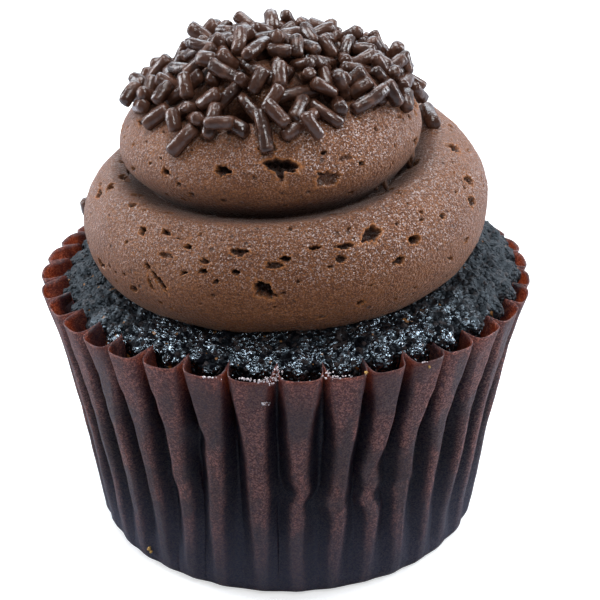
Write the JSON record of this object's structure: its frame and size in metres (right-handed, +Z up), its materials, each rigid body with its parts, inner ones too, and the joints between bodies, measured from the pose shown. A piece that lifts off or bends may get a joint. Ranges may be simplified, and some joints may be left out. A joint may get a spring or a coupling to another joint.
{
  "type": "cupcake",
  "caption": "Chocolate cupcake in a fluted brown paper case, topped with a piped swirl of chocolate buttercream and chocolate sprinkles.",
  "frame": {"origin": "centre of the paper case's flat base, on the surface the cupcake stands on", "axes": "+Z up through the middle of the cupcake; +X is the picture's right; -Y faces the picture's viewer"},
  "size_m": [0.0699, 0.0699, 0.075],
  "materials": {
    "case_paper": "thin greaseproof brown paper, slightly translucent, faint sheen",
    "cake_crumb": "moist dark chocolate crumb with small glossy highlights",
    "buttercream": "soft satin chocolate buttercream with small air holes; the sprinkles on it are darker and glossy"
  },
  "bodies": {
    "root": {"case": "case_paper", "cake": "cake_crumb", "frosting": "buttercream"}
  },
  "joints": []
}
